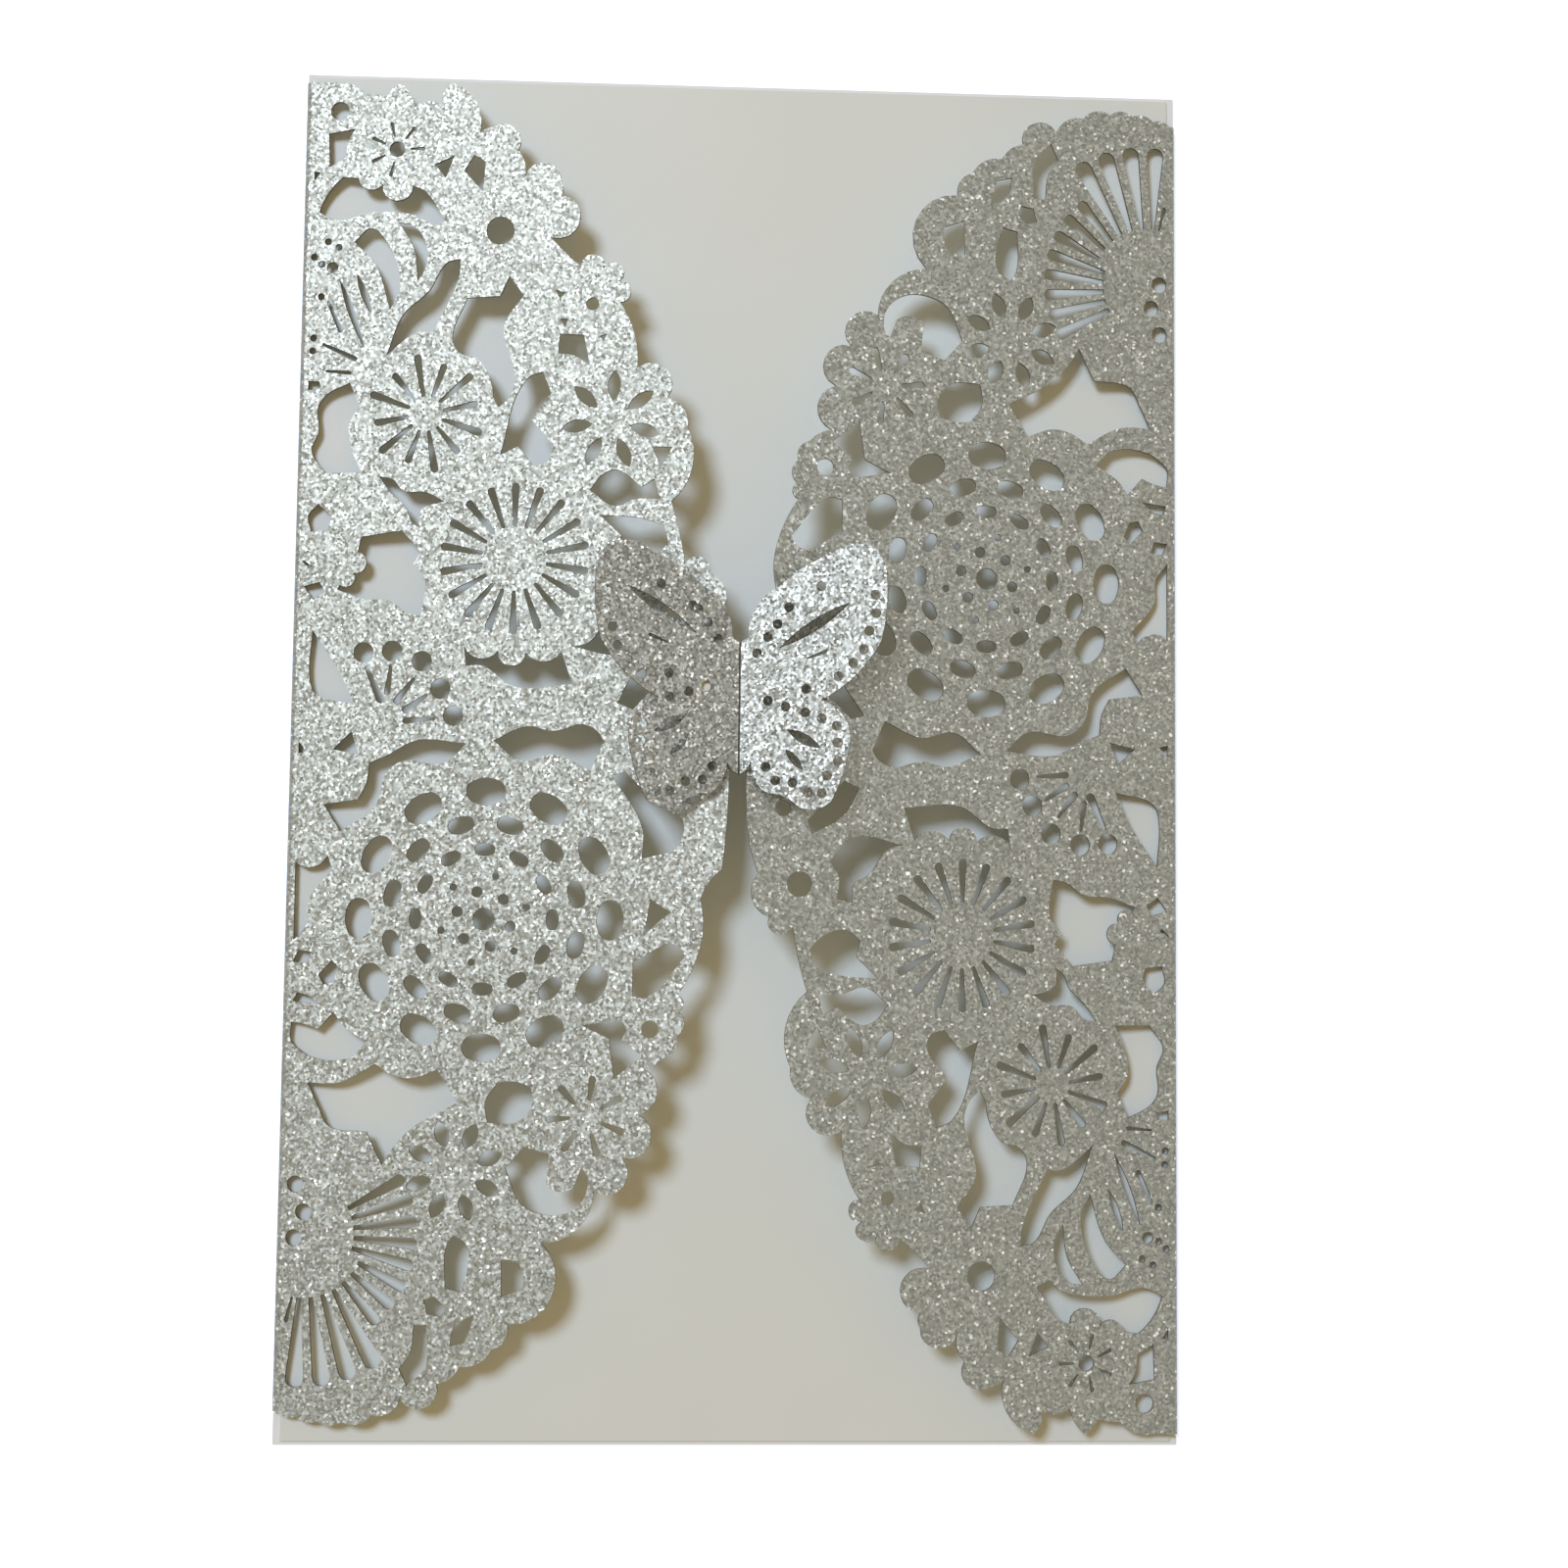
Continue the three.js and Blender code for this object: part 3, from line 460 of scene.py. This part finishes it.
roseCentre = (27, -23.3)
fanHub = (3.6, -64.8)
flowerHoles = [
    # head: a small flower, a plain flower with a round eye, and seeds beside the fold
    roundHole(4.8, 86.7, 1.3),
    roundHole(12.9, 81.2, 1.1),
    *spokes([12.9, 81.2], 7, 0, 1.9, 3.9, 0.55),
    roundHole(27.4, 69.6, 1.95),
    *[roundHole(u, v, 0.5) for u, v in [
      [3.6, 68.5], [5.1, 67.7], [1.7, 66.4], [2.8, 65.4], [2.8, 60.9], [1.9, 55.2],
      [1.8, 53.4]]],
    roundHole(4.3, 64.9, 0.8),
    leaf([5.3, 63.3], [9, 53.6], 1),
    leaf([7.7, 64], [9.8, 58.4], 1),
    slot([3.8, 60.1], [5.8, 55.9], 0.8),
    slot([3.3, 54.3], [8, 52.1], 0.8),
    slot([3.8, 50.6], [7.3, 50.3], 0.6),
    slot([1.3, 24.6], [2.4, 23.7], 0.5),
    # the round flowers of the upper half
    *spokes([17.7, 44.6], 6, 10, 2.6, 7.2, 1),
    *spokes([17.7, 44.6], 6, 40, 2.6, 8.2, 1.1),
    *spokes([43, 43.4], 7, 86, 2.6, 6.9, 1.8, leaf),
    *spokes([30.2, 24.8], 18, 90, 4.6, 10.2, 1.1),
    roundHole(40.2, 59.3, 0.9),
    roundHole(52.4, 18.3, 1.7),
    roundHole(54.7, 8.3, 1.1),
    roundHole(53.7, -5.6, 1),
    # five beads over a small fan
    *[roundHole(u, v, 1.4) for u, v in [
      [9.9, 12.2], [13.8, 12.4], [17.9, 11], [20.5, 7.3], [22.3, 3.7]]],
    slot([10.4, 10.1], [12.6, 5.4], 1.2),
    slot([13.7, 10.4], [13.2, 6.4], 0.9),
    slot([16.8, 8.6], [14.3, 5.3], 1),
    slot([18.6, 6.4], [15.4, 4.2], 1),
    slot([19.7, 3.3], [15.4, 3], 0.9),
    # the rose window
    roundHole(*roseCentre, 1.5),
    *seeds(roseCentre, 6, 45, 3.7, 0.75),
    *seeds(roseCentre, 6, 75, 5.9, 0.5),
    *panes(roseCentre, 12, 0, 9.2, 2.8, 1.5),
    *panes(roseCentre, 12, 15, 12.8, 3.6, 2),
    *panes(roseCentre, 12, 0, 16.9, 4.8, 3.2),
    # foot: a small ring, two petal flowers and the big fan
    roundHole(49.4, -37.5, 1.15),
    *spokes([41.2, -49], 7, 30, 2.4, 5.4, 1),
    *spokes([23.7, -56.3], 8, 20, 3.2, 6.8, 2, leaf),
    roundHole(2.4, -58.4, 1.1),
    roundHole(fanHub[0], -62, 1.1),
    roundHole(2.4, -65.4, 1.1),
    *fanRays(fanHub, 12, -92, 29,
      lambda share: 8.4 if share < 0.6 else 6.9,
      lambda share: 20 if share < 0.35 else 15.5,
      lambda share: 2.6 if share < 0.35 else 1.7),
    slot([2.4, -73.2], [1.6, -76.4], 0.6),
]

wingEdge = [
    [0, -6.4], [0.9, -5.9], [1.7, -4.8, 0.3], [3.1, -8.3, 0.2], [5.4, -9, -0.2],
    [8.2, -10.7, 0.6], [12.4, -10, 0.4], [14.9, -2, 1.2], [10.9, 3.3, 0.9],
    [18.9, 11, 0.3], [19.6, 19, 0.5], [17.8, 23.3, 0.9], [12, 22.4, 0.5], [5.2, 18.3, 1.2],
    [1.2, 11.8], [0, 10.8],
]

# openings of a wing: those along its rim, and those inside
rimHoles = [roundHole(u, v, 0.66) for u, v in [
    [6.6, 15.6], [10.9, 18.3], [18.1, 17], [18.2, 14.6], [17.3, 12.3], [16.6, 9.9],
    [15.2, 8.1], [13.3, 6.4], [13.1, -0.1], [13.3, -2.3], [13.3, -4.7], [11.9, -6.6],
    [11.2, -8.9], [9.4, -8.8], [7.3, -7.5], [5, -7.2], [3.7, -5.4]]]
innerHoles = [
    leaf([5.3, 10.2], [14.8, 16.1], 1.5), slot([9.2, 8.8], [11.8, 9.8], 0.5),
    leaf([6.5, -0.5], [11, -3], 1.4), leaf([6.3, -3.1], [8.7, -5.9], 1.1),
    *[roundHole(u, v, 0.66) for u, v in [
        [2.4, 9.6], [3.8, 11.7], [5.1, 13.4], [9, 4.8], [3.9, 3.3], [6.3, 2.5], [8.9, 1.7],
        [11.1, 0.9]]]]


card = {  # the folded card, in millimetres
    "width": 120, "height": 185, "thick": 0.4,
    "foldRadius": 0.75,  # to the middle of the card's thickness
    "foldHeadStep": 1.6, "foldFootStep": 4.5,  # from the ends of the card to those of its folds
    "flapTilt": math.radians(8),
    "gate": 2,
    "drawnReach": 59.65,  # how far the rows above reach across a flap
}


def outsideUp(centre, side):  # glitter on top, paper under it
    return {1: glitterSide, -1: liningSide, 0: edgeSide}[side]


def makeWrapper():
    halfWidth, halfHeight = card["width"] / 2, card["height"] / 2
    thick, tilt = card["thick"], card["flapTilt"]
    outer = card["foldRadius"] + thick / 2
    inner = card["foldRadius"] - thick / 2
    foldX = halfWidth - outer
    sweep = math.pi - tilt
    headEnd, footEnd = halfHeight - card["foldHeadStep"], card["foldFootStep"] - halfHeight
    turn = -math.pi / 2 - sweep
    foldEnd = Vector((-foldX + card["foldRadius"] * math.cos(turn), 0,
                      outer + card["foldRadius"] * math.sin(turn)))
    startAlong = (foldEnd.x + halfWidth) / math.cos(tilt)
    reach = (halfWidth - card["gate"] / 2) / math.cos(tilt)
    across = reach / card["drawnReach"]

    def flapPlace(side):
        def place(u, v, w):
            along = u * across - startAlong
            x = foldEnd.x + along * math.cos(tilt) - w * math.sin(tilt)
            z = foldEnd.z + along * math.sin(tilt) + w * math.cos(tilt)
            return Vector((x * side, v * side, z))
        return place

    def foldPlace(side):
        middle = (headEnd + footEnd) / 2
        return lambda u, v, w: Vector((u * side, (middle + w) * side, v))

    edge = [[max(row[0], startAlong / across), *row[1:]] for row in flapEdge]

    def backFinish(centre, side):
        return glitterSide if side < 0 else liningSide

    def foldFinish(centre, side):
        if side:
            return edgeSide
        away = math.hypot(centre.x + foldX, centre.y - outer)
        return glitterSide if away > card["foldRadius"] else liningSide

    # the fold seen from the foot: outside from the back panel round to the flap, and back
    def onFold(radius, angle, *bulge):
        return [*polar((-foldX, outer), radius, math.degrees(angle)), *bulge]

    start, halfway = -math.pi / 2, -math.pi / 2 - sweep / 2
    standing = 1 - math.cos(sweep / 4)
    foldRows = [
        onFold(outer, start, -outer * standing), onFold(outer, halfway, -outer * standing),
        onFold(outer, turn), onFold(inner, turn, inner * standing),
        onFold(inner, halfway, inner * standing), onFold(inner, start),
    ]
    relief = outer / 2
    side = [[halfWidth, -halfHeight], [halfWidth, -headEnd - relief], [foldX, -headEnd],
            [foldX, -footEnd], [halfWidth, -footEnd + relief], [halfWidth, halfHeight]]
    back = side + [[-x, -y] for x, y in side]
    sheets = [cutSheet(back, [], thick, lambda u, v, w: Vector((u, v, w + thick / 2)),
                       backFinish, rounded=False)]
    for turned in (1, -1):
        sheets.append(cutSheet(edge, freeHoles + flowerHoles, thick, flapPlace(turned),
                               outsideUp))
        sheets.append(cutSheet(foldRows, [], headEnd - footEnd, foldPlace(turned), foldFinish,
                               rounded=False))
    rim = flapPlace(1)(card["drawnReach"], 0, thick / 2)
    return joined("laceWrapper", sheets, glitterCard), rim.z


wrapper, rimHeight = makeWrapper()
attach(wrapper, "root")
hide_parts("wrapper")
print("lace wrapper made,", len(wrapper.data.polygons), "faces")


butterfly = {  # millimetres
    "tilt": math.radians(14), "lift": 0.3, "rise": 2.3, "thick": 0.4,
    "leftShift": (0.7, 1.8),  # of the left wing's inner openings
}


def makeButterfly():
    tilt, thick = butterfly["tilt"], butterfly["thick"]
    foot = rimHeight + butterfly["lift"]

    def wingPlace(side):
        def place(u, v, w):
            lift = w + thick / 2
            crease = u < drawing["weld"]  # both wings meet over the crease
            x = 0 if crease else u * math.cos(tilt) - lift * math.sin(tilt)
            z = lift / math.cos(tilt) if crease else u * math.sin(tilt) + lift * math.cos(tilt)
            return Vector((x * side, v + butterfly["rise"], foot + z))
        return place

    # the left wing was cut a little askew, so its inner openings stand further out and up
    out, up = butterfly["leftShift"]
    left = [[[row[0] + out, row[1] + up, *row[2:]] for row in rows] for rows in innerHoles]
    wings = [cutSheet(wingEdge, rimHoles + innerHoles, thick, wingPlace(1), outsideUp),
             cutSheet(wingEdge, rimHoles + left, thick, wingPlace(-1), outsideUp)]
    return joined("glitterButterfly", wings, scoredCard)


wings = makeButterfly()
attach(wings, "root")
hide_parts("butterfly")
print("butterfly made,", len(wings.data.polygons), "faces")

for name, material in (("insert_card", pearlCard), ("adhesive_pad", foamPad)):
    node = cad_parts[name]
    node.data.materials.clear()
    node.data.materials.append(material)
print("plain card and pad finished")

# table, light and camera
studio = {
    "background": "#ffffff", "tableSize": 3, "tableDrop": 0.05 * mm,  # metres
    "table": "#e6eeff", "glow": "#dce9ff", "glowStrength": 0.735,
    "fill": "#ffdb90", "fillStrength": 0.41,
    "key": "#d7e7ff", "keyPower": 19.2, "keySize": 0.5,
    "keyPlace": (-0.6, 0.6, 1.43),
}


def seenRay(tree):  # 1 where the camera, a reflection or a clear body looks at it
    light = addNode(tree, "ShaderNodeLightPath", {}, {})
    first = addNode(tree, "ShaderNodeMath", {"operation": "MAXIMUM"},
                    {0: light.outputs["Is Camera Ray"], 1: light.outputs["Is Glossy Ray"]})
    both = addNode(tree, "ShaderNodeMath", {"operation": "MAXIMUM"},
                   {0: first.outputs[0], 1: light.outputs["Is Transmission Ray"]})
    return both.outputs[0]


# matt white table top: the glow lifts it to white for the eye, and the card's shadow stays
def makeTable():
    bpy.ops.mesh.primitive_plane_add(
        size=studio["tableSize"], location=(0, 0, -studio["tableDrop"]))
    table = bpy.context.object
    table.name = "table"
    material, tree = newMaterial("white table top")
    glow = addNode(tree, "ShaderNodeMath", {"operation": "MULTIPLY"},
                   {0: seenRay(tree), 1: studio["glowStrength"]})
    matt = addNode(tree, "ShaderNodeBsdfDiffuse", {}, {"Color": linear(studio["table"])})
    lit = addNode(tree, "ShaderNodeEmission", {}, {
        "Color": linear(studio["glow"]), "Strength": glow.outputs[0]})
    both = addNode(tree, "ShaderNodeAddShader", {}, {0: matt.outputs[0], 1: lit.outputs[0]})
    addNode(tree, "ShaderNodeOutputMaterial", {}, {"Surface": both.outputs[0]})
    table.data.materials.append(material)


def makeWorld():
    world = bpy.data.worlds.new("studio")
    bpy.context.scene.world = world
    world.use_nodes = True
    tree = world.node_tree
    tree.nodes.clear()
    fill = addNode(tree, "ShaderNodeBackground", {}, {
        "Color": linear(studio["fill"]), "Strength": studio["fillStrength"]})
    white = addNode(tree, "ShaderNodeBackground", {}, {
        "Color": linear(studio["background"]), "Strength": 1})
    both = addNode(tree, "ShaderNodeMixShader", {}, {
        0: seenRay(tree), 1: fill.outputs[0], 2: white.outputs[0]})
    addNode(tree, "ShaderNodeOutputWorld", {}, {"Surface": both.outputs[0]})


def makeKey():  # a soft box up and to the left, which sets the offset of the shadows
    data = bpy.data.lights.new("soft box", "AREA")
    data.shape = "DISK"
    data.size = studio["keySize"]
    data.energy = studio["keyPower"]
    data.color = linear(studio["key"])[:3]
    lamp = bpy.data.objects.new("soft box", data)
    lamp.location = studio["keyPlace"]
    lamp.rotation_euler = (-Vector(studio["keyPlace"])).to_track_quat("-Z", "Y").to_euler()
    bpy.context.scene.collection.objects.link(lamp)


shot = {  # metres; fitted to the card's corners and the flowers' middles in a 1600 x 1600 frame
    "place": (-0.00816, -0.0275, 0.3053), "aim": (0.00648, -0.00444, 0),
    "roll": math.radians(0.6), "lens": 51.75, "sensor": 36,
}


def makeCamera():
    data = bpy.data.cameras.new("camera")
    data.lens = shot["lens"]
    data.sensor_width = shot["sensor"]
    data.clip_start = 0.01
    camera = bpy.data.objects.new("camera", data)
    back = (Vector(shot["place"]) - Vector(shot["aim"])).normalized()
    right = Vector((0, 1, 0)).cross(back).normalized()
    turned = Matrix((right, back.cross(right), back)).transposed()
    camera.rotation_euler = (turned @ Matrix.Rotation(shot["roll"], 3, "Z")).to_euler()
    camera.location = shot["place"]
    bpy.context.scene.collection.objects.link(camera)
    bpy.context.scene.camera = camera


makeTable()
makeWorld()
makeKey()
makeCamera()
bpy.context.scene.view_settings.view_transform = "Standard"
print("table, light and camera set")
